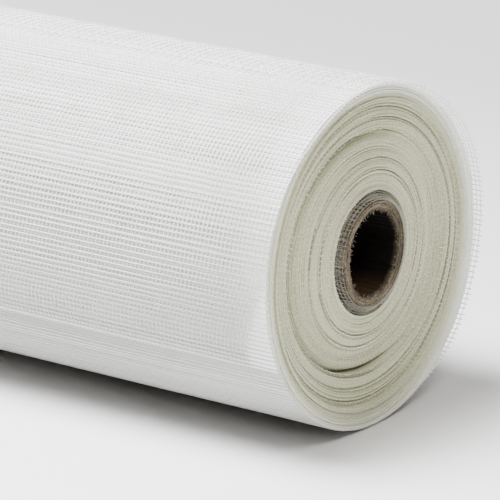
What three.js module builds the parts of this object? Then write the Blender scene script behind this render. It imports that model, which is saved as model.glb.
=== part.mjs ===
// A roll of fibreglass insect screen on its cardboard core, lying on its side.
// Millimetres, +Z up. The roll runs along +X, and the origin is on the floor under its middle.
//
// The screen is one sheet of constant width, wound round the core. Its turns have slipped sideways,
// so the ends are dished and stepped: what stands proud at the +X end is drawn in as far at the -X
// end. The outer turns are loose, and hang a little low on the tight turns round the core.
import * as THREE from "three";

// Core: a cardboard tube with a nominal one inch bore.
const coreBore = 26;
const coreWall = 2.6;
const coreOverhang = 2.4; // how far the tube stands out past half the sheet's width at each end

// Screen: a sheet of this width, wound to this diameter.
const sheetWidth = 600;
const sheetThickness = 0.4;
const rollDiameter = 103;
const coreClearance = 0.3; // between the tube and the innermost turn
const innerLift = 1.2; // the tight turns and the core lie this far above the outer surface's axis

// Facets round the axis, the same on every turned solid, with one facet flat on the floor.
const facets = 64;
const facetAngle = (2 * Math.PI) / facets;

const coreRadius = coreBore / 2 + coreWall;
const woundInnerRadius = coreRadius + coreClearance;
const rollRadius = rollDiameter / 2;
const woundDepth = rollRadius - sheetThickness - woundInnerRadius;
const axisHeight = rollRadius * Math.cos(facetAngle / 2);

// Groups of turns from the core outwards, all but the last turn. `share` is where a group ends, as a
// share of the wound depth. `slip` is how far its edge stands out at the +X end, `lean` how much
// further it does on the +Y side, and `drop` how much further at the bottom; on the opposite side it
// stands out that much less. A group with a `gap` is an air gap that deep, between turns that have
// come loose.
const looseGapShare = 0.574;
const turnGroups = [
  { share: 0.02, slip: 2, lean: 0 },
  { share: 0.075, slip: 0.4, lean: 0.1, gap: 3 },
  { share: 0.163, slip: 0.3, lean: 0.3 },
  { share: 0.309, slip: -0.1, lean: 0.8 },
  { share: 0.426, slip: -0.8, lean: 1.5 },
  { share: 0.548, slip: -1.4, lean: 2.3 },
  { share: looseGapShare, slip: -1.5, lean: 2.8, gap: 3 },
  { share: 0.719, slip: -0.8, lean: 2.7, drop: 0.3 },
  { share: 0.865, slip: 0, lean: 2, drop: 0.7 },
  { share: 1, slip: 0.8, lean: 1.3, drop: 1 },
];

// The last turn runs from the sheet's free end, on the -Y side below the middle, up over the top and
// all the way round. Its edge wanders: each pair is how far round it is, and how far it stands out.
const freeEndAngle = THREE.MathUtils.degToRad(205);
const lastTurnEdge = [
  [0, -9],
  [40, -0.4],
  [110, 3],
  [175, 7],
  [240, 6],
  [290, 2.4],
  [360, 1.6],
];

// How far the last turn's edge stands out at an angle, measured about +X from +Y towards +Z.
function lastTurnSlip(angle) {
  const round = THREE.MathUtils.radToDeg(THREE.MathUtils.euclideanModulo(freeEndAngle - angle, 2 * Math.PI));
  const next = lastTurnEdge.findIndex(([end]) => end >= round);
  const [from, low] = lastTurnEdge[Math.max(next - 1, 0)];
  const [to, high] = lastTurnEdge[Math.max(next, 1)];
  return low + (high - low) * THREE.MathUtils.smoothstep(round, from, to);
}

// The lift of the turn that ends at a share of the wound depth.
function liftAt(share) {
  return innerLift * Math.min(1, (1 - share) / (1 - looseGapShare));
}

// The rings that the groups make. `slipAt` gives each one's edge at an angle.
function windingRings() {
  let inner = 0;
  const rings = turnGroups.map(({ share, slip, lean, drop = 0, gap = 0 }) => {
    const slipAt = (angle) => slip + lean * Math.cos(angle) - drop * Math.sin(angle);
    const ring = { inner, outer: share, gap, slipAt };
    inner = share;
    return ring;
  });
  return rings.map((ring) => ({
    ...ring,
    innerRadius: woundInnerRadius + ring.inner * woundDepth,
    outerRadius: woundInnerRadius + ring.outer * woundDepth,
    innerLift: liftAt(ring.inner),
    outerLift: liftAt(ring.outer),
  }));
}

// Turns a closed outline round the axis, which ends up along +X with a facet facing down. Each point
// has a radius, the lift of its ring's centre, and its place along the axis as a function of angle.
function turned(outline) {
  const closed = [...outline, outline[0]];
  const profile = closed.map(({ radius }) => new THREE.Vector2(radius, 0));
  const geometry = new THREE.LatheGeometry(profile, facets, facetAngle / 2);
  const position = geometry.getAttribute("position");
  for (let i = 0; i < position.count; i++) {
    const { lift, along } = closed[i % closed.length];
    const y = -position.getX(i);
    const z = position.getZ(i);
    position.setXYZ(i, along(Math.atan2(z, y)), y, z + lift);
  }
  return geometry;
}

function coreTube() {
  const end = sheetWidth / 2 + coreOverhang;
  const point = (radius, side) => ({ radius, lift: innerLift, along: () => side * end });
  const outline = [
    point(coreBore / 2, -1),
    point(coreRadius, -1),
    point(coreRadius, 1),
    point(coreBore / 2, 1),
  ];
  const cardboard = new THREE.MeshStandardMaterial({ color: 0x8a7664, roughness: 0.9, metalness: 0 });
  return new THREE.Mesh(turned(outline), cardboard);
}

// One end of the roll, from the bore to the outside. `side` is 1 at +X and -1 at -X.
function rollEnd(rings, side) {
  const along = (slipAt, gap) => (angle) => side * (sheetWidth / 2 - gap) + slipAt(angle);
  const points = rings.flatMap(({ innerRadius, outerRadius, innerLift, outerLift, slipAt, gap }) => [
    { radius: innerRadius, lift: innerLift, along: along(slipAt, gap) },
    { radius: outerRadius, lift: outerLift, along: along(slipAt, gap) },
  ]);
  const lastTurn = along(lastTurnSlip, 0);
  points.push({ radius: rollRadius - sheetThickness, lift: 0, along: lastTurn });
  points.push({ radius: rollRadius, lift: 0, along: lastTurn });
  return points;
}

function screenRoll() {
  const rings = windingRings();
  const outline = [...rollEnd(rings, -1), ...rollEnd(rings, 1).reverse()];
  const screen = new THREE.MeshStandardMaterial({ color: 0xe6e8e2, roughness: 0.65, metalness: 0 });
  return new THREE.Mesh(turned(outline), screen);
}

const part = new THREE.Group();

const core = coreTube();
core.name = "core_tube";
part.add(core);

const roll = screenRoll();
roll.name = "screen_roll";
part.add(roll);

// The last turn reaches furthest at both ends, so its edge sets the middle of the whole length.
const edgeSlips = lastTurnEdge.map(([, slip]) => slip);
const lengthMiddle = (Math.max(...edgeSlips) + Math.min(...edgeSlips)) / 2;
part.children.forEach((piece) => piece.position.set(-lengthMiddle, 0, axisHeight));

export default part;
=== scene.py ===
import math

import bpy
import numpy as np
from mathutils import Matrix, Vector


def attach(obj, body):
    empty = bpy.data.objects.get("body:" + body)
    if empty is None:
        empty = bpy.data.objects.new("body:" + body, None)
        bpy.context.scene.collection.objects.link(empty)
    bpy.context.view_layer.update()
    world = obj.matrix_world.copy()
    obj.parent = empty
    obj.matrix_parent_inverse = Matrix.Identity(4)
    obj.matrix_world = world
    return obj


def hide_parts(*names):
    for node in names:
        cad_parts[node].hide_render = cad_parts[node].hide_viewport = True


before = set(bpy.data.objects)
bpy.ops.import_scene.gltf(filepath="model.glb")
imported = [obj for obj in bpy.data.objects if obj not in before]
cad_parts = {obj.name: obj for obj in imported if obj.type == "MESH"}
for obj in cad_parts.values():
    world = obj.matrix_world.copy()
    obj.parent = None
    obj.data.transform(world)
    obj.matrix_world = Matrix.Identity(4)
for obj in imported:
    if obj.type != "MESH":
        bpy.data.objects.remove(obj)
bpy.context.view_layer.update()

# Sizes in millimetres. Those of the roll, the sheet and the tube are the solids' own. Meshes are turned
# into metres as they are made.
MM = 0.001
TAU = 2 * math.pi
ALONG = np.array([1.0, 0.0, 0.0])

# The roll, which lies on one facet of its solid
ROLL_R = 51.5
FACETS = 64
AXIS_Z = ROLL_R * math.cos(math.pi / FACETS)

# The sheet: half its width, its thickness, its middle, its two edges with their signs, and its free end
SHEET_HALF = 300.0
SHEET_THICK = 0.4
SHIFT_X = 1.0
NEAR_END = SHIFT_X + SHEET_HALF
FAR_END = SHIFT_X - SHEET_HALF
ENDS = ((NEAR_END, 1), (FAR_END, -1))
FREE_END = math.radians(205)

# The weave: yarns along the roll, yarns round it, and how thick they are
AXIAL_PITCH = 1.5875
RING_PITCH = 1.411
YARN = 0.28

# The tube, and the tight turns on it, which are lifted above the outer surface's axis. The lift is full
# up to a share of the wound depth, and fades out from there to the outside.
CORE_R = 15.6
BORE_R = 13.0
CORE_END = 302.4
WOUND_IN = CORE_R + 0.3
INNER_LIFT = 1.2
LOOSE_SHARE = 0.574

# The depth of a turn, the outside of the tight turns, and the well round the core
TURN = 0.25
BODY_R = 50.9
WELL_R = 18.56
WELL_DEPTH = 4.0

rng = np.random.default_rng(7)


# Camera

ELEVATION = math.radians(17.92)
AZIMUTH = math.radians(54.76)
IMAGE_PX = 500
FOCAL_PX = 4170.0
SENSOR = 36.0
DISTANCE = 23.35 * ROLL_R
# Where the middle of the roll's near end lies in the picture
RIM_PX = (368.5, 256.4)

towards = np.array([
    math.cos(ELEVATION) * math.cos(AZIMUTH),
    -math.cos(ELEVATION) * math.sin(AZIMUTH),
    math.sin(ELEVATION),
])
right = np.cross([0.0, 0.0, 1.0], towards)
right /= np.linalg.norm(right)
up = np.cross(towards, right)
rim_centre = np.array([NEAR_END, 0.0, AXIS_Z])
eye = (
    rim_centre
    + DISTANCE * towards
    - (RIM_PX[0] - IMAGE_PX / 2) / FOCAL_PX * DISTANCE * right
    + (RIM_PX[1] - IMAGE_PX / 2) / FOCAL_PX * DISTANCE * up
)
camera_data = bpy.data.cameras.new("camera")
camera_data.sensor_width = SENSOR
camera_data.lens = FOCAL_PX / IMAGE_PX * SENSOR
camera_data.clip_start = 0.01
camera_data.clip_end = 50.0
camera = bpy.data.objects.new("camera", camera_data)
bpy.context.scene.collection.objects.link(camera)
turn_camera = Matrix((right, up, towards)).transposed().to_4x4()
camera.matrix_world = Matrix.Translation(Vector(eye * MM)) @ turn_camera
bpy.context.scene.camera = camera


# Meshes

def add_mesh(name, points, quads, smooth=True):
    """A mesh object from points in millimetres and four-sided faces."""
    points = np.asarray(points, dtype=np.float64).reshape(-1, 3) * MM
    quads = np.asarray(quads, dtype=np.int32).reshape(-1, 4)
    mesh = bpy.data.meshes.new(name)
    mesh.vertices.add(len(points))
    mesh.vertices.foreach_set("co", points.ravel())
    mesh.loops.add(quads.size)
    mesh.loops.foreach_set("vertex_index", quads.ravel())
    mesh.polygons.add(len(quads))
    mesh.polygons.foreach_set("loop_start", np.arange(0, quads.size, 4, dtype=np.int32))
    mesh.polygons.foreach_set("use_smooth", np.full(len(quads), smooth))
    mesh.update(calc_edges=True)
    mesh.validate()
    piece = bpy.data.objects.new(name, mesh)
    bpy.context.scene.collection.objects.link(piece)
    return piece


def strands(centres, side, out, width, height):
    """Points and faces of many four-sided yarns. The arrays have shape (yarns, points along, 3)."""
    centres = np.asarray(centres)
    yarns, along = centres.shape[:2]
    side = np.broadcast_to(side, centres.shape)
    out = np.broadcast_to(out, centres.shape)
    corners = np.stack([
        centres + side * (width / 2),
        centres + out * (height / 2),
        centres - side * (width / 2),
        centres - out * (height / 2),
    ], axis=2)
    index = np.arange(yarns * along * 4).reshape(yarns, along, 4)
    here, there = index[:, :-1], index[:, 1:]
    walls = np.stack([here, np.roll(here, -1, axis=2), np.roll(there, -1, axis=2), there], axis=-1)
    first = index[:, 0, ::-1]
    last = index[:, -1]
    faces = np.concatenate([walls.reshape(-1, 4), first.reshape(-1, 4), last.reshape(-1, 4)])
    return corners.reshape(-1, 3), faces


def joined(parts):
    """Joins (points, faces) pairs into one pair."""
    points, faces, start = [], [], 0
    for some_points, some_faces in parts:
        points.append(some_points)
        faces.append(np.asarray(some_faces) + start)
        start += len(some_points)
    return np.concatenate(points), np.concatenate(faces)


def about_axis(x, radius, angles, lift=0.0):
    """Points at a radius and an angle about the roll's axis. Their places along it are x."""
    y = radius * np.cos(angles)
    z = radius * np.sin(angles) + AXIS_Z + lift
    return np.stack(np.broadcast_arrays(x, y, z), axis=-1)


def outwards(angles):
    """Directions away from the axis."""
    return np.stack([np.zeros_like(angles), np.cos(angles), np.sin(angles)], axis=-1)


def sideways(angles):
    """Directions round the axis."""
    return np.stack([np.zeros_like(angles), -np.sin(angles), np.cos(angles)], axis=-1)


def ring_grid(radius, along, lift, steps):
    """A closed turned solid: rows of one radius and lift each, and along as a function of angle."""
    angles = np.arange(steps) * TAU / steps
    rows = len(radius)
    y = np.outer(radius, np.cos(angles))
    z = np.outer(radius, np.sin(angles)) + np.asarray(lift)[:, None] + AXIS_Z
    points = np.stack([along(angles), y, z], axis=-1)
    index = np.arange(rows * steps).reshape(rows, steps)
    below = np.roll(index, -1, axis=0)
    faces = np.stack([index, np.roll(index, -1, axis=1), np.roll(below, -1, axis=1), below], axis=-1)
    return points.reshape(-1, 3), faces.reshape(-1, 4)


def smooth_noise(count, scale, seed):
    """A row of wandering numbers, each like its neighbours, about -1 to 1."""
    knots = np.random.default_rng(seed).normal(0, 0.5, int(count / scale) + 4)
    return np.interp(np.arange(count) / scale, np.arange(len(knots)), knots)


def round_noise(angles, waves, seed):
    """Wandering numbers for an array of angles, which meet again after a full circle."""
    picks = np.random.default_rng(seed)
    total = np.zeros_like(angles)
    for n in range(1, waves + 1):
        total += picks.normal(0, 1 / n) * np.cos(n * angles + picks.uniform(0, TAU))
    return total


# The roll's shape

# Degrees round from the free end, and how far the last turn's edge stands out there at the near end
LAST_TURN_EDGE = ((0, -9), (40, -0.4), (110, 3), (175, 7), (240, 6), (290, 2.4), (360, 1.6))
# For turns at a share of the roll's radius: how far they stand out at the near end, how much further
# they do on the +Y side, and how much further at the bottom
END_SHAPE = (
    (0.36, 0.4, 0.2, 0.0),
    (0.42, 0.3, 0.35, 0.0),
    (0.50, -0.1, 0.9, 0.0),
    (0.52, -0.6, 1.1, 0.0),
    (0.60, -1.0, 1.8, 0.0),
    (0.66, -1.5, 2.4, 0.1),
    (0.695, -1.7, 2.7, 0.2),
    (0.70, -1.1, 3.0, 0.2),
    (0.80, -0.4, 2.4, 0.5),
    (0.90, 0.5, 1.6, 0.9),
    (0.955, 0.9, 1.3, 1.1),
    (0.985, 1.7, 2.2, 1.1),
    (1.0, 1.7, 2.2, 1.1),
)
# Between these radii the loose turns have sunk
GROOVE = (32.0, 36.1)
GROOVE_DEPTH = 4.2
# At these radii two turns are drawn in at the near end, and so stand out as far at the far end
GAPS = (24.3, 27.9, 40.1, 43.3)
GAP_DEPTH = 1.0


def lift_at(radius):
    """How far the turn at a radius lies above the outer surface's axis."""
    share = (np.asarray(radius, dtype=float) - WOUND_IN) / (ROLL_R - SHEET_THICK - WOUND_IN)
    return INNER_LIFT * np.clip((1 - share) / (1 - LOOSE_SHARE), 0, 1)


def end_slip(radius, angles):
    """How far the turn at a radius stands out at the near end, at each angle."""
    share = np.asarray(radius) / ROLL_R
    knots = np.array(END_SHAPE)
    slip = np.interp(share, knots[:, 0], knots[:, 1])
    lean = np.interp(share, knots[:, 0], knots[:, 2])
    drop = np.interp(share, knots[:, 0], knots[:, 3])
    return slip[..., None] + lean[..., None] * np.cos(angles) - drop[..., None] * np.sin(angles)


def sheet_slip(phi):
    """How far the edge of the outer two turns stands out, phi radians round from the free end."""
    turned = np.degrees(np.asarray(phi, dtype=float))
    knots = np.array(LAST_TURN_EDGE, dtype=float)
    slip = np.full_like(turned, knots[-1, 1])
    for (a, low), (b, high) in zip(knots[:-1], knots[1:]):
        t = np.clip((turned - a) / (b - a), 0, 1)
        t = t * t * (3 - 2 * t)
        inside = (turned >= a) & (turned <= b)
        slip = np.where(inside, low + (high - low) * t, slip)
    body = end_slip(np.array(BODY_R), FREE_END - np.asarray(phi, dtype=float))
    settle = np.clip((turned - 360) / 50, 0, 1)
    return np.where(turned > 360, slip + (body - slip) * settle, slip)


def groove_depth(radius, angles):
    """How deep the loose turns have sunk, from the top round the -Y side to the bottom."""
    into = np.clip((np.asarray(radius) - GROOVE[0]) / (GROOVE[1] - GROOVE[0]), 0, 1)
    into = np.where(np.asarray(radius) > GROOVE[1], 0.0, into ** 1.6)
    turned = np.degrees(np.mod(angles, TAU))
    open_share = np.interp(turned, (0, 62, 100, 200, 250, 285, 300, 360), (0, 0, 0.75, 1, 1, 0.5, 0, 0))
    return GROOVE_DEPTH * into[..., None] * open_share


def sheet_radius(phi):
    """The middle of the sheet in its outer two turns: loose at first, then tight."""
    turned = np.degrees(np.asarray(phi, dtype=float))
    return np.interp(turned, (0, 270, 310, 360, 372, 720), (51.35, 51.32, 50.82, 50.79, 50.93, 50.9))


def second_turn(phi):
    """1 on the sheet's second turn, which lies under its first, and 0 on the first."""
    return np.clip((np.degrees(phi) - 362) / 10, 0, 1)


# The outer two turns, yarn by yarn

# The mean radius of these turns. The round yarns lie a little inside the sheet's middle, and the long
# yarns a little outside it. The outermost round yarns lie a margin in from the sheet's edges.
SHEET_MEAN_R = 51.1
ROUND_YARNS_IN = 0.05
LONG_YARNS_OUT = 0.07
EDGE_MARGIN = 0.9
RING_PIECES = 3
RING_WANDER = 0.06
AXIAL_STEPS = 13

ring_half = SHEET_HALF - EDGE_MARGIN
ring_count = int(2 * ring_half / RING_PITCH) + 1
ring_x = np.linspace(-ring_half, ring_half, ring_count)
ring_x = ring_x + 0.25 * smooth_noise(ring_count, 9, 3)
phi = np.linspace(0, 2 * TAU, 2 * FACETS + 1)
angle = FREE_END - phi
reach = sheet_radius(phi) - ROUND_YARNS_IN
slip = sheet_slip(phi)

# Over the top the loose sheet puckers, so that some of its round yarns stand proud
CREST_AT = 120
CREST_WIDTH = 28
PUCKER = 0.32
PUCKER_SPREAD = 0.22
PUCKER_PULL = 1.2
crest = np.exp(-((np.degrees(phi) - CREST_AT) / CREST_WIDTH) ** 2)
pucker_noise = np.random.default_rng(21).uniform(0, PUCKER_SPREAD, ring_count)

# Near the ends the second turn is pressed flat on the ones beneath it
PRESSED = 0.17
PRESSED_FROM = 10
PRESSED_FADE = 4
near_end = np.clip((np.abs(ring_x) - SHEET_HALF + PRESSED_FROM) / PRESSED_FADE, 0, 1)

ring_pieces = []
for number, block in enumerate(np.array_split(np.arange(ring_count), RING_PIECES)):
    wander = np.stack([RING_WANDER * round_noise(phi / 2, 9, 100 + j) for j in block])
    pucker = (PUCKER * (block % 2) + pucker_noise[block])[:, None] * crest
    x = SHIFT_X + ring_x[block][:, None] + slip + wander - PUCKER_PULL * pucker
    raised = pucker - PRESSED * near_end[block][:, None] * second_turn(phi)
    centres = about_axis(x, reach, angle) + raised[..., None] * outwards(angle)
    points, faces = strands(centres, ALONG, outwards(angle), YARN, YARN)
    ring_pieces.append(add_mesh(f"round_yarns_{number + 1}", points, faces))

# The first long yarn lies at the free end itself
axial_count = int(2 * TAU * SHEET_MEAN_R / AXIAL_PITCH)
place = np.arange(axial_count) * AXIAL_PITCH
place = place + 0.3 * smooth_noise(axial_count, 6, 11) + 0.15 * smooth_noise(axial_count, 2.5, 12)
place[0] = 0.1
axial_phi = place / SHEET_MEAN_R
line = np.linspace(-1, 1, AXIAL_STEPS)
bend = np.stack([0.004 * smooth_noise(AXIAL_STEPS, 2.5, 500 + k) for k in range(axial_count)])
yarn_angle = FREE_END - (axial_phi[:, None] + bend)
pressed = PRESSED * second_turn(axial_phi)[:, None] * (np.abs(line) == 1)
yarn_reach = sheet_radius(axial_phi)[:, None] + LONG_YARNS_OUT - pressed
ends = SHEET_HALF + rng.uniform(-0.35, 0.25, (axial_count, 1))
x = SHIFT_X + line[None, :] * ends + sheet_slip(axial_phi)[:, None]
centres = about_axis(x, yarn_reach, yarn_angle)
points, faces = strands(centres, sideways(yarn_angle), outwards(yarn_angle), YARN * 1.1, YARN)
long_yarns = add_mesh("long_yarns", points, faces)

# The number of the round yarn at each point, plus the long yarn's own, so that crossings alternate
crossing = np.interp(line[None, :] * ends, ring_x, np.arange(ring_count))
crossing = crossing + np.arange(axial_count)[:, None]
weave = long_yarns.data.attributes.new("weave", "FLOAT", "POINT")
weave.data.foreach_set("value", np.repeat(crossing.ravel(), 4))


# The tight turns beneath, with the edge of each turn as a step

BODY_STEPS = 112
TURN_WANDER = 0.10
TOOTH_HEIGHT = 0.2
TOOTH_ROOT = 0.6

turn_count = int((BODY_R - WELL_R) / TURN)
turn_in = WELL_R + np.arange(turn_count) * TURN
turn_out = turn_in + TURN
turn_mid = (turn_in + turn_out) / 2
group_step = np.repeat(rng.normal(0, 0.26, turn_count), rng.integers(3, 9, turn_count))[:turn_count]
own_step = rng.normal(0, 0.12, turn_count)
for gap_radius in GAPS:
    own_step[np.abs(turn_mid - gap_radius) < TURN] -= GAP_DEPTH


def turn_wander(i, angles):
    return TURN_WANDER * round_noise(angles, 7, 900 + i)


def turn_edges(angles):
    """Each turn's edge at the near end, at each angle."""
    edge = end_slip(turn_mid, angles)
    for i in range(turn_count):
        edge[i] += turn_wander(i, angles)
    return edge + (group_step + own_step)[:, None]


def body_along(angles):
    """Where each turn ends, first at the near end and then, the other way round, at the far end."""
    edge = turn_edges(angles)
    deep = groove_depth(turn_mid, angles)
    near = np.repeat(NEAR_END + edge - deep, 2, axis=0)
    far = np.repeat(FAR_END + edge + deep, 2, axis=0)
    return np.concatenate([near, far[::-1]])


row_radius = np.stack([turn_in, turn_out], axis=1).ravel()
body_radius = np.concatenate([row_radius, row_radius[::-1]])
points, faces = ring_grid(body_radius, body_along, lift_at(body_radius), BODY_STEPS)
body = add_mesh("tight_turns", points, faces, smooth=False)

# Yarn ends that stand out of every third turn's edge, with longer ones beside the groove and the gaps
tooth_parts = []
for i, radius in enumerate(turn_mid):
    at_groove = GROOVE[1] < radius < GROOVE[1] + 0.3
    at_gap = any(0 < radius - TURN - gap_radius < TURN for gap_radius in GAPS)
    if i % 3 and not at_groove and not at_gap:
        continue
    longest = 1.6 if at_groove else 0.9 if at_gap else 0.5
    count = int(TAU * radius / AXIAL_PITCH)
    angles = np.arange(count) * TAU / count + rng.uniform(0, 1)
    angles = angles + rng.normal(0, 0.1, count) / radius
    edge = end_slip(radius, angles) + group_step[i] + own_step[i] + turn_wander(i, angles)
    sunk = groove_depth(radius, angles)
    side = sideways(angles)[:, None]
    out = outwards(angles)[:, None]
    for end, sign in ENDS:
        tip = end + edge + sign * (rng.uniform(0.2, 1.0, count) * longest - sunk)
        root = end + edge - sign * (TOOTH_ROOT + sunk)
        x = np.stack([root, tip], axis=1)
        centres = about_axis(x, radius, angles[:, None], lift_at(radius))
        tooth_parts.append(strands(centres, side, out, YARN, TOOTH_HEIGHT))
teeth = add_mesh("yarn_ends", *joined(tooth_parts))


# The loose turns round the core, as open mesh

# Each turn's radius, and how far its yarns stand out at the ends
LOOSE_TURNS = ((16.05, 2.4), (16.6, 2.0), (17.2, 1.5), (17.9, 0.9))
LOOSE_DEPTH = 6.0
LOOSE_LEAN = 0.25
HOOPS = 4
HOOP_STEPS = 72
LOOSE_YARN = 0.2
HOOP_YARN = 0.18
LOOSE_HEIGHT = 0.16

hoop = np.linspace(0, TAU, HOOP_STEPS + 1)
loose_parts = []
for turn, (radius, top) in enumerate(LOOSE_TURNS):
    count = int(TAU * radius / AXIAL_PITCH)
    angles = np.arange(count) * TAU / count + rng.uniform(0, 1) + rng.normal(0, 0.012, count)
    tip = top + LOOSE_LEAN * np.cos(angles + 0.4 * turn) + rng.uniform(-0.2, 0.2, count)
    hoop_top = top + LOOSE_LEAN * np.cos(hoop + 0.4 * turn) - 0.3
    side = sideways(angles)[:, None]
    out = outwards(angles)[:, None]
    for end, sign in ENDS:
        root = np.full(count, end - sign * LOOSE_DEPTH)
        x = np.stack([root, end + sign * tip], axis=1)
        centres = about_axis(x, radius, angles[:, None], INNER_LIFT)
        loose_parts.append(strands(centres, side, out, LOOSE_YARN, LOOSE_HEIGHT))
        for k in range(HOOPS):
            level = end + sign * (hoop_top - RING_PITCH * (k + 0.2 * turn))
            ring = about_axis(level, radius, hoop, INNER_LIFT)
            loose_parts.append(strands(ring[None], ALONG, outwards(hoop), HOOP_YARN, LOOSE_HEIGHT))
loose = add_mesh("loose_turns", *joined(loose_parts))


# The turns deeper down, which floor the well round the core

WELL_STEPS = 96


def well_along(angles):
    """The floors of the well, which are flat."""
    floors = np.repeat([NEAR_END - WELL_DEPTH, FAR_END + WELL_DEPTH], 2)
    return np.repeat(floors[:, None], len(angles), axis=1)


well_radius = np.array([WOUND_IN, WELL_R + 0.1, WELL_R + 0.1, WOUND_IN])
points, faces = ring_grid(well_radius, well_along, np.full(len(well_radius), INNER_LIFT), WELL_STEPS)
well = add_mesh("first_turns", points, faces, smooth=False)


# The cardboard tube, cut a little raggedly

TUBE_STEPS = 192
WALL_ROWS = 9
WORN_ROWS = 3


def tube_along(angles):
    """Where each row of the wall ends. The rows nearest the bore are the most worn."""
    rows = []
    for sign in (1, -1):
        end = []
        for row in range(WALL_ROWS):
            inner_edge = max(0, WORN_ROWS - row) / WORN_ROWS
            rough = 0.10 * round_noise(angles, 40, 40 + row + 60 * (sign > 0))
            worn = inner_edge * (0.25 + 0.25 * np.abs(round_noise(angles, 50, 300 + row)))
            end.append(SHIFT_X + sign * (CORE_END - 0.2 - worn + rough * 0.6))
        rows.extend(end if sign > 0 else end[::-1])
    return np.stack(rows)


tube_radius = np.linspace(BORE_R, CORE_R, WALL_ROWS)
tube_radius = np.concatenate([tube_radius, tube_radius[::-1]])
points, faces = ring_grid(tube_radius, tube_along, np.full(len(tube_radius), INNER_LIFT), TUBE_STEPS)
points = points.reshape(len(tube_radius), TUBE_STEPS, 3)

# The bore's mouth is ragged, and the row next to it is so by a smaller share
angles = np.arange(TUBE_STEPS) * TAU / TUBE_STEPS
for row, share in ((0, 1.0), (-1, 1.0), (1, 0.4), (-2, 0.4)):
    ragged = np.clip(0.7 * round_noise(angles, 80, 70 + row), -0.2, 1.3) * share
    points[row, :, 1] -= ragged * np.cos(angles)
    points[row, :, 2] -= ragged * np.sin(angles)
tube = add_mesh("cardboard_tube", points.reshape(-1, 3), faces, smooth=False)

# Torn paper fibres round the bore's mouth
FIBRES = 420
FIBRE_WIDTH = 0.14
FIBRE_HEIGHT = 0.08
fibre_parts = []
for sign in (1, -1):
    start = rng.uniform(0, TAU, FIBRES)
    span = rng.normal(0, 0.05, FIBRES)
    depth = rng.uniform(0.0, 1.0, FIBRES) ** 3 * 1.3 + 0.05
    level = SHIFT_X + sign * (CORE_END - 0.3 - rng.uniform(0, 0.8, FIBRES))
    radius = np.stack([np.full(FIBRES, BORE_R + 0.1), BORE_R - depth * 0.5, BORE_R - depth], axis=1)
    a = start[:, None] + span[:, None] * np.array([0, 0.5, 1.0])
    x = level[:, None] + sign * rng.uniform(-0.3, 0.5, FIBRES)[:, None] * np.array([0, 0.4, 1.0])
    centres = about_axis(x, radius, a, INNER_LIFT)
    fibre_parts.append(strands(centres, sideways(a), ALONG, FIBRE_WIDTH, FIBRE_HEIGHT))
fibres = add_mesh("paper_fibres", *joined(fibre_parts))


# Materials

class Nodes:
    """A short way to write a material's node tree."""

    def __init__(self, name):
        self.material = bpy.data.materials.new(name)
        self.material.use_nodes = True
        self.tree = self.material.node_tree
        self.shader = self.tree.nodes["Principled BSDF"]

    def plug(self, socket, value):
        if isinstance(value, bpy.types.NodeSocket):
            self.tree.links.new(value, socket)
        else:
            socket.default_value = value

    def math(self, operation, *values, clamp=False):
        node = self.tree.nodes.new("ShaderNodeMath")
        node.operation = operation
        node.use_clamp = clamp
        for socket, value in zip(node.inputs, values):
            self.plug(socket, value)
        return node.outputs[0]

    def plus(self, a, b, clamp=False):
        return self.math("ADD", a, b, clamp=clamp)

    def minus(self, a, b):
        return self.math("SUBTRACT", a, b)

    def times(self, a, b):
        return self.math("MULTIPLY", a, b)

    def most(self, a, b):
        return self.math("MAXIMUM", a, b)

    def below(self, a, b):
        return self.math("LESS_THAN", a, b)

    def size_of(self, value):
        return self.math("ABSOLUTE", value)

    def xyz(self, vector):
        node = self.tree.nodes.new("ShaderNodeSeparateXYZ")
        self.plug(node.inputs[0], vector)
        return node.outputs

    def vector(self, x, y, z):
        node = self.tree.nodes.new("ShaderNodeCombineXYZ")
        for socket, value in zip(node.inputs, (x, y, z)):
            self.plug(socket, value)
        return node.outputs[0]

    def place(self):
        return self.tree.nodes.new("ShaderNodeTexCoord").outputs["Object"]

    def normal(self):
        return self.tree.nodes.new("ShaderNodeNewGeometry").outputs["True Normal"]

    def noise(self, vector, scale, detail=2.0, rough=0.5):
        node = self.tree.nodes.new("ShaderNodeTexNoise")
        self.plug(node.inputs["Vector"], vector)
        node.inputs["Scale"].default_value = scale
        node.inputs["Detail"].default_value = detail
        node.inputs["Roughness"].default_value = rough
        return node.outputs["Fac"]

    def mix(self, share, a, b):
        node = self.tree.nodes.new("ShaderNodeMix")
        node.data_type = "RGBA"
        self.plug(node.inputs[0], share)
        self.plug(node.inputs[6], a)
        self.plug(node.inputs[7], b)
        return node.outputs[2]

    def span(self, value, low, high, to_low=0.0, to_high=1.0):
        node = self.tree.nodes.new("ShaderNodeMapRange")
        self.plug(node.inputs["Value"], value)
        node.inputs["From Min"].default_value = low
        node.inputs["From Max"].default_value = high
        node.inputs["To Min"].default_value = to_low
        node.inputs["To Max"].default_value = to_high
        return node.outputs[0]

    def turn(self, angle, start, stop, to_low=0.0, to_high=1.0):
        """The span of an angle, with its limits in degrees."""
        return self.span(angle, math.radians(start), math.radians(stop), to_low, to_high)

    def ring(self, radius, limits):
        """The span of a radius, with its limits in millimetres."""
        return self.span(radius, limits[0] * MM, limits[1] * MM)

    def paint(self, colour, roughness):
        self.plug(self.shader.inputs["Base Color"], colour)
        self.shader.inputs["Roughness"].default_value = roughness

    def bump(self, height, distance, strength):
        node = self.tree.nodes.new("ShaderNodeBump")
        node.inputs["Strength"].default_value = strength
        node.inputs["Distance"].default_value = distance
        self.plug(node.inputs["Height"], height)
        self.plug(self.shader.inputs["Normal"], node.outputs[0])


# Radii on the roll's end: the pale rim, and the sunk turns and their open edge, which get painted shade
RIM_BAND = (46.5, 50.0)
SUNK_BAND = (32.5, 36.0)
OPEN_BAND = (35.3, 35.8)


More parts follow.
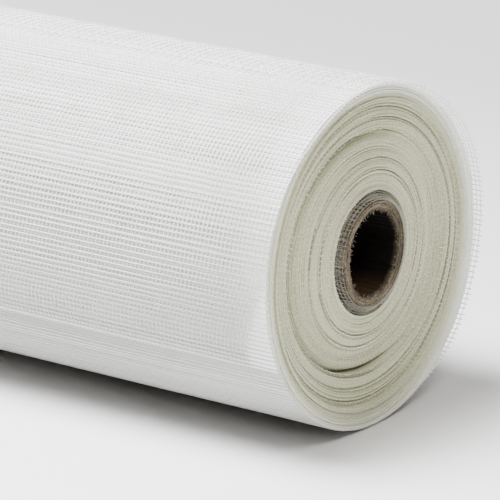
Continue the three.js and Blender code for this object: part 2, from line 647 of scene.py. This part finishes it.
def polar(n, lift=0.0):
    """x, radius and angle about the roll's axis, or about one that lies higher, in metres and radians."""
    x, y, z = n.xyz(n.place())
    z = n.minus(z, (AXIS_Z + lift) * MM)
    radius = n.math("SQRT", n.plus(n.times(y, y), n.times(z, z)))
    angle = n.math("ARCTAN2", z, y)
    return x, radius, angle


def depth_behind_end(n, x, half_length):
    """How far a place lies in from the nearer end, in metres."""
    return n.minus(half_length * MM, n.size_of(n.minus(x, SHIFT_X * MM)))


def line_wave(n, value, pitch):
    """1 on evenly spaced lines and 0 between them."""
    half = 0.5
    sharp = 0.2
    phase = n.math("FRACT", n.math("DIVIDE", value, pitch * MM))
    distance = n.size_of(n.minus(phase, half))
    return n.span(distance, half - sharp, half - sharp * 0.4)


def tight_side(n, angle):
    """1 below the free end, where the sheet lies tight on the turns, and 0 elsewhere. It marks the smooth
    tight sheet and painted shade.
    """
    return n.times(n.turn(angle, -156, -153), n.turn(angle, -60, -80))


def painted_side_shade(n, angle):
    """1 on the side where the loose sheet hangs away from the turns, from the free end upwards. It marks
    where shade is painted.
    """
    return n.most(n.turn(angle, 125, 160), n.below(angle, math.radians(-155)))


def away_side(n, share):
    """A share on the sides that face away from -Y, and 0 towards it. It marks where light is painted."""
    return n.turn(n.size_of(polar(n)[2]), 150, 75, 0.0, share)


def yarn_material(name, low, high, woven):
    """Coated yarn. Woven yarn gets painted shade at its crossings, darkest where it dips under."""
    # Painted shade: at the crossings, below the free end, and on the -Y side
    crossing_shade_colour = (0.40, 0.40, 0.385, 1)
    underside_shade_colour = (0.42, 0.42, 0.405, 1)
    side_shade_colour = (0.53, 0.53, 0.52, 1)
    n = Nodes(name)
    tone = n.noise(n.place(), 260.0, 3.0)
    speck = n.noise(n.place(), 2600.0, 1.0)
    shade = n.plus(n.times(tone, 0.6), n.times(speck, 0.4))
    colour = n.mix(n.span(shade, 0.35, 0.65), low, high)
    if woven:
        count = n.tree.nodes.new("ShaderNodeAttribute")
        count.attribute_name = "weave"
        # Painted shade at every crossing, deeper where the yarn dips under
        crossing = n.math("COSINE", n.times(count.outputs["Fac"], TAU))
        under = n.math("COSINE", n.times(count.outputs["Fac"], math.pi))
        crossing_shade = n.plus(n.span(crossing, 0.0, 0.9, 0.0, 0.45), n.span(under, 0.3, 1.0, 0.0, 0.25))
        colour = n.mix(crossing_shade, colour, crossing_shade_colour)
    angle = polar(n)[2]
    # Painted shade below the free end and on the -Y side
    colour = n.mix(n.times(tight_side(n, angle), 0.7), colour, underside_shade_colour)
    colour = n.mix(n.times(painted_side_shade(n, angle), 0.4), colour, side_shade_colour)
    n.paint(colour, 0.4)
    n.shader.inputs["IOR"].default_value = 1.45
    n.bump(speck, 0.00003, 0.4)
    return n.material


def wound_side(n, x, angle, lattice, grain):
    """The colour of the outside of the tight turns, which shows through the outer mesh, with painted
    shade in the weave's holes, below the free end and on the -Y side, and painted light over the top.
    """
    # Painted shade in the weave's holes, the pale yarn, and painted shade below the free end and on the
    # -Y side
    dark = (0.34, 0.34, 0.32, 1)
    pale = (0.88, 0.88, 0.865, 1)
    underside_shade_colour = (0.47, 0.47, 0.455, 1)
    side_shade_colour = (0.48, 0.48, 0.46, 1)
    edge_strip = (0.004, 0.014)
    share = n.plus(n.times(lattice, 0.5), n.times(grain, 0.5), clamp=True)
    depth = depth_behind_end(n, x, SHEET_HALF)
    tight = tight_side(n, angle)
    smooth = n.most(n.span(depth, *edge_strip, 0.7, 0.0), n.times(tight, 0.9))
    share = n.plus(share, smooth, clamp=True)
    # Painted light over the top and the +Y side, where the holes' shade is lighter
    painted_top_light = n.times(n.span(angle, 2.3, 1.7), n.math("GREATER_THAN", angle, 0.0))
    share = n.most(share, n.times(painted_top_light, 0.72))
    colour = n.mix(share, dark, pale)
    # Painted shade below the free end, and on the -Y side, less near the ends
    colour = n.mix(n.times(tight, 0.85), colour, underside_shade_colour)
    facing = n.times(painted_side_shade(n, angle), n.span(depth, *edge_strip, 0.15, 0.4))
    return n.mix(facing, colour, side_shade_colour)


def wound_end(n, radius, angle, turns, ends):
    """The colour of the turns' edges, greener and darker than the side, with a pale rim, and painted
    shade in the sunk turns and the gaps.
    """
    low = (0.36, 0.365, 0.22, 1)
    high = (0.64, 0.645, 0.475, 1)
    band_colour = (0.605, 0.60, 0.44, 1)
    rim_colour = (0.88, 0.88, 0.83, 1)
    # Painted shade in the sunk turns, and in their open edge and the gaps
    groove_shade_colour = (0.30, 0.31, 0.20, 1)
    gap_shade_colour = (0.14, 0.14, 0.09, 1)
    streak = n.noise(n.vector(turns, n.times(angle, 2.0), 0.0), 0.9, 4.0, 0.7)
    share = n.plus(n.times(streak, 0.5), n.times(ends, 0.5))
    colour = n.mix(n.span(share, 0.3, 0.7), low, high)
    bands = n.noise(n.vector(n.times(turns, 0.09), n.times(angle, 0.8), 3.0), 1.3, 2.0)
    colour = n.mix(n.span(bands, 0.4, 0.65, 0.0, 0.35), colour, band_colour)

    # The rim, palest on the +Y side and near the top
    top_right = n.times(n.turn(angle, -70, -20), n.turn(angle, 110, 80))
    rim = n.times(n.ring(radius, RIM_BAND), n.plus(0.55, n.times(top_right, 0.4)))
    colour = n.mix(rim, colour, rim_colour)

    # Painted shade in the sunk turns and their open edge, from the top round the -Y side to the bottom,
    # and in the gaps
    open_side = n.most(n.turn(angle, 70, 110), n.turn(angle, -70, -95))
    inside_groove = n.below(radius, (GROOVE[1] + 0.1) * MM)
    sunk = n.times(n.times(n.ring(radius, SUNK_BAND), inside_groove), open_side)
    colour = n.mix(n.times(sunk, 0.7), colour, groove_shade_colour)
    gap = n.times(n.times(n.ring(radius, OPEN_BAND), inside_groove), open_side)
    for gap_radius in GAPS:
        off = n.size_of(n.minus(radius, gap_radius * MM))
        gap = n.most(gap, n.below(off, TURN * MM))
    return n.mix(n.times(gap, 0.5), colour, gap_shade_colour)


def wound_material():
    """The tight turns: woven on the outside, and cut edges on the ends and between the turns."""
    n = Nodes("wound_screen")
    x, radius, angle = polar(n)
    arc = n.times(angle, BODY_R * MM)
    sway = n.noise(n.vector(x, arc, 0.0), 60.0, 2.0)
    long_lines = line_wave(n, n.plus(arc, n.times(sway, 0.004)), AXIAL_PITCH)
    round_lines = line_wave(n, n.plus(x, n.times(sway, 0.003)), RING_PITCH)
    lattice = n.most(long_lines, round_lines)
    grain = n.noise(n.vector(x, arc, 0.0), 1500.0, 3.0)
    turns = n.times(radius, 1.0 / (TURN * MM))
    ends = n.noise(n.vector(turns, n.times(n.times(angle, radius), 900.0), 0.0), 0.8, 2.0)
    side_colour = wound_side(n, x, angle, lattice, grain)
    end_colour = wound_end(n, radius, angle, turns, ends)
    at_end = n.span(n.size_of(n.xyz(n.normal())[0]), 0.3, 0.7)
    between_turns = n.below(radius, (BODY_R - 0.15) * MM)
    n.paint(n.mix(n.most(at_end, between_turns), side_colour, end_colour), 0.75)
    n.shader.inputs["IOR"].default_value = 1.4
    n.bump(n.plus(lattice, n.plus(grain, ends)), 0.00008, 0.4)
    return n.material


def tip_material(name, low, high, away=None):
    """Cut yarns and fibres. `away` is their colour on the sides away from -Y, where it differs, and is
    painted light.
    """
    n = Nodes(name)
    tone = n.noise(n.place(), 900.0, 2.0)
    colour = n.mix(n.span(tone, 0.3, 0.7), low, high)
    if away:
        colour = n.mix(away_side(n, 0.75), colour, away)
    n.paint(colour, 0.6)
    return n.material


def well_material():
    """The shaded floor of the well round the core, lighter away from -Y."""
    n = Nodes("shaded_screen")
    grain = n.noise(n.place(), 900.0, 3.0)
    colour = n.mix(grain, (0.03, 0.025, 0.02, 1), (0.12, 0.105, 0.085, 1))
    colour = n.mix(away_side(n, 0.7), colour, (0.36, 0.35, 0.28, 1))
    n.paint(colour, 0.9)
    return n.material


def cardboard_material():
    """Grey-brown cardboard with its plies on the cut ends, with painted shade on its +Y side and inside
    the bore.
    """
    low = (0.016, 0.012, 0.008, 1)
    high = (0.25, 0.205, 0.14, 1)
    patch_colour = (0.085, 0.068, 0.048, 1)
    # Colours of painted shade: on the +Y side, and inside the bore
    tube_shade_colour = (0.03, 0.022, 0.014, 1)
    bore_shade_colour = (0.003, 0.0015, 0.001, 1)
    bore_floor_shade_colour = (0.045, 0.026, 0.012, 1)
    n = Nodes("cardboard")
    x, radius, angle = polar(n, INNER_LIFT)
    plies = n.noise(n.vector(n.times(radius, 2000.0), n.times(angle, 1.5), 0.0), 1.0, 3.0)
    fibre = n.noise(n.place(), 1700.0, 4.0, 0.65)
    patch = n.noise(n.place(), 260.0, 2.0)
    share = n.plus(n.times(plies, 0.45), n.times(fibre, 0.55))
    colour = n.mix(n.span(share, 0.37, 0.63), low, high)
    colour = n.mix(n.span(patch, 0.45, 0.7, 0.0, 0.5), colour, patch_colour)
    # Painted shade on the +Y side
    tube_side_shade = n.span(n.size_of(n.minus(angle, 0.1)), 1.3, 0.7, 0.0, 0.45)
    colour = n.mix(tube_side_shade, colour, tube_shade_colour)

    # Painted shade inside the bore, which is least dark at the bottom and near its mouth
    depth = depth_behind_end(n, x, CORE_END)
    inside = n.below(radius, (BORE_R + 0.5) * MM)
    dark = n.times(n.span(depth, 0.0004, 0.0024), inside)
    bottom = n.span(n.size_of(n.plus(angle, math.radians(95))), 0.9, 0.3)
    bore_shade = n.mix(n.times(bottom, n.span(depth, 0.03, 0.004)), bore_shade_colour, bore_floor_shade_colour)
    n.paint(n.mix(dark, colour, bore_shade), 0.95)
    n.shader.inputs["Specular IOR Level"].default_value = 0.15
    n.bump(n.plus(fibre, plies), 0.0005, 0.8)
    return n.material


def floor_material():
    """A pale floor that gets darker towards the back."""
    n = Nodes("pale_floor")
    tone = n.noise(n.place(), 3.0, 2.0)
    back = n.span(n.xyz(n.place())[1], -0.15, 0.35)
    share = n.plus(n.times(tone, 0.06), back, clamp=True)
    n.paint(n.mix(share, (0.84, 0.835, 0.84, 1), (0.44, 0.44, 0.44, 1)), 0.55)
    n.shader.inputs["Specular IOR Level"].default_value = 0.25
    return n.material


yarn = yarn_material("long_yarn", (0.88, 0.885, 0.87, 1), (0.96, 0.96, 0.95, 1), True)
# The round yarns get a darker copy of the yarn colour: painted shade, as they lie under the long yarns
round_yarn = yarn_material("round_yarn", (0.80, 0.805, 0.79, 1), (0.90, 0.90, 0.89, 1), False)
wound = wound_material()
cardboard = cardboard_material()
shaded = well_material()
tips = tip_material("yarn_tips", (0.56, 0.58, 0.43, 1), (0.84, 0.86, 0.70, 1))
paper = tip_material("paper_fibre", (0.04, 0.03, 0.02, 1), (0.24, 0.20, 0.14, 1))
# The loose turns' yarn: dark with painted shade, and lighter with painted light on the sides away from -Y
shaded_loose_yarn = tip_material("core_yarn", (0.10, 0.095, 0.075, 1), (0.30, 0.285, 0.23, 1), (0.52, 0.51, 0.42, 1))
for piece, material in (
    *((ring, round_yarn) for ring in ring_pieces),
    (long_yarns, yarn),
    (body, wound),
    (teeth, tips),
    (loose, shaded_loose_yarn),
    (well, shaded),
    (tube, cardboard),
    (fibres, paper),
):
    piece.data.materials.append(material)

for piece in (*ring_pieces, long_yarns, body, teeth, loose, well):
    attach(piece, "root")
    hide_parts("screen_roll")
for piece in (tube, fibres):
    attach(piece, "root")
    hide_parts("core_tube")


# Floor and light

FLOOR_HALF = 9000
corners = ((-1, -1, 0), (1, -1, 0), (1, 1, 0), (-1, 1, 0))
floor = add_mesh("floor", np.array(corners) * FLOOR_HALF, [(0, 1, 2, 3)])
floor.data.materials.append(floor_material())


def area_light(name, place, aim, size, power, colour=(1, 1, 1)):
    """A square light at a place, turned to its aim. Both are in metres."""
    data = bpy.data.lights.new(name, "AREA")
    data.size = size
    data.energy = power
    data.color = colour
    light = bpy.data.objects.new(name, data)
    light.location = place
    light.rotation_euler = (Vector(aim) - Vector(place)).to_track_quat("-Z", "Y").to_euler()
    bpy.context.scene.collection.objects.link(light)


area_light("key_light", (-0.25, -0.37, 1.5), (0.25, 0.0, 0.05), 0.8, 147, (0.985, 0.99, 1.0))
area_light("end_light", (0.95, -0.35, 1.3), (0.31, 0.0, 0.02), 0.6, 15)
world = bpy.data.worlds.new("world")
bpy.context.scene.world = world
world.use_nodes = True
background = world.node_tree.nodes["Background"]
background.inputs["Color"].default_value = (1.0, 0.95, 0.84, 1)
background.inputs["Strength"].default_value = 0.32
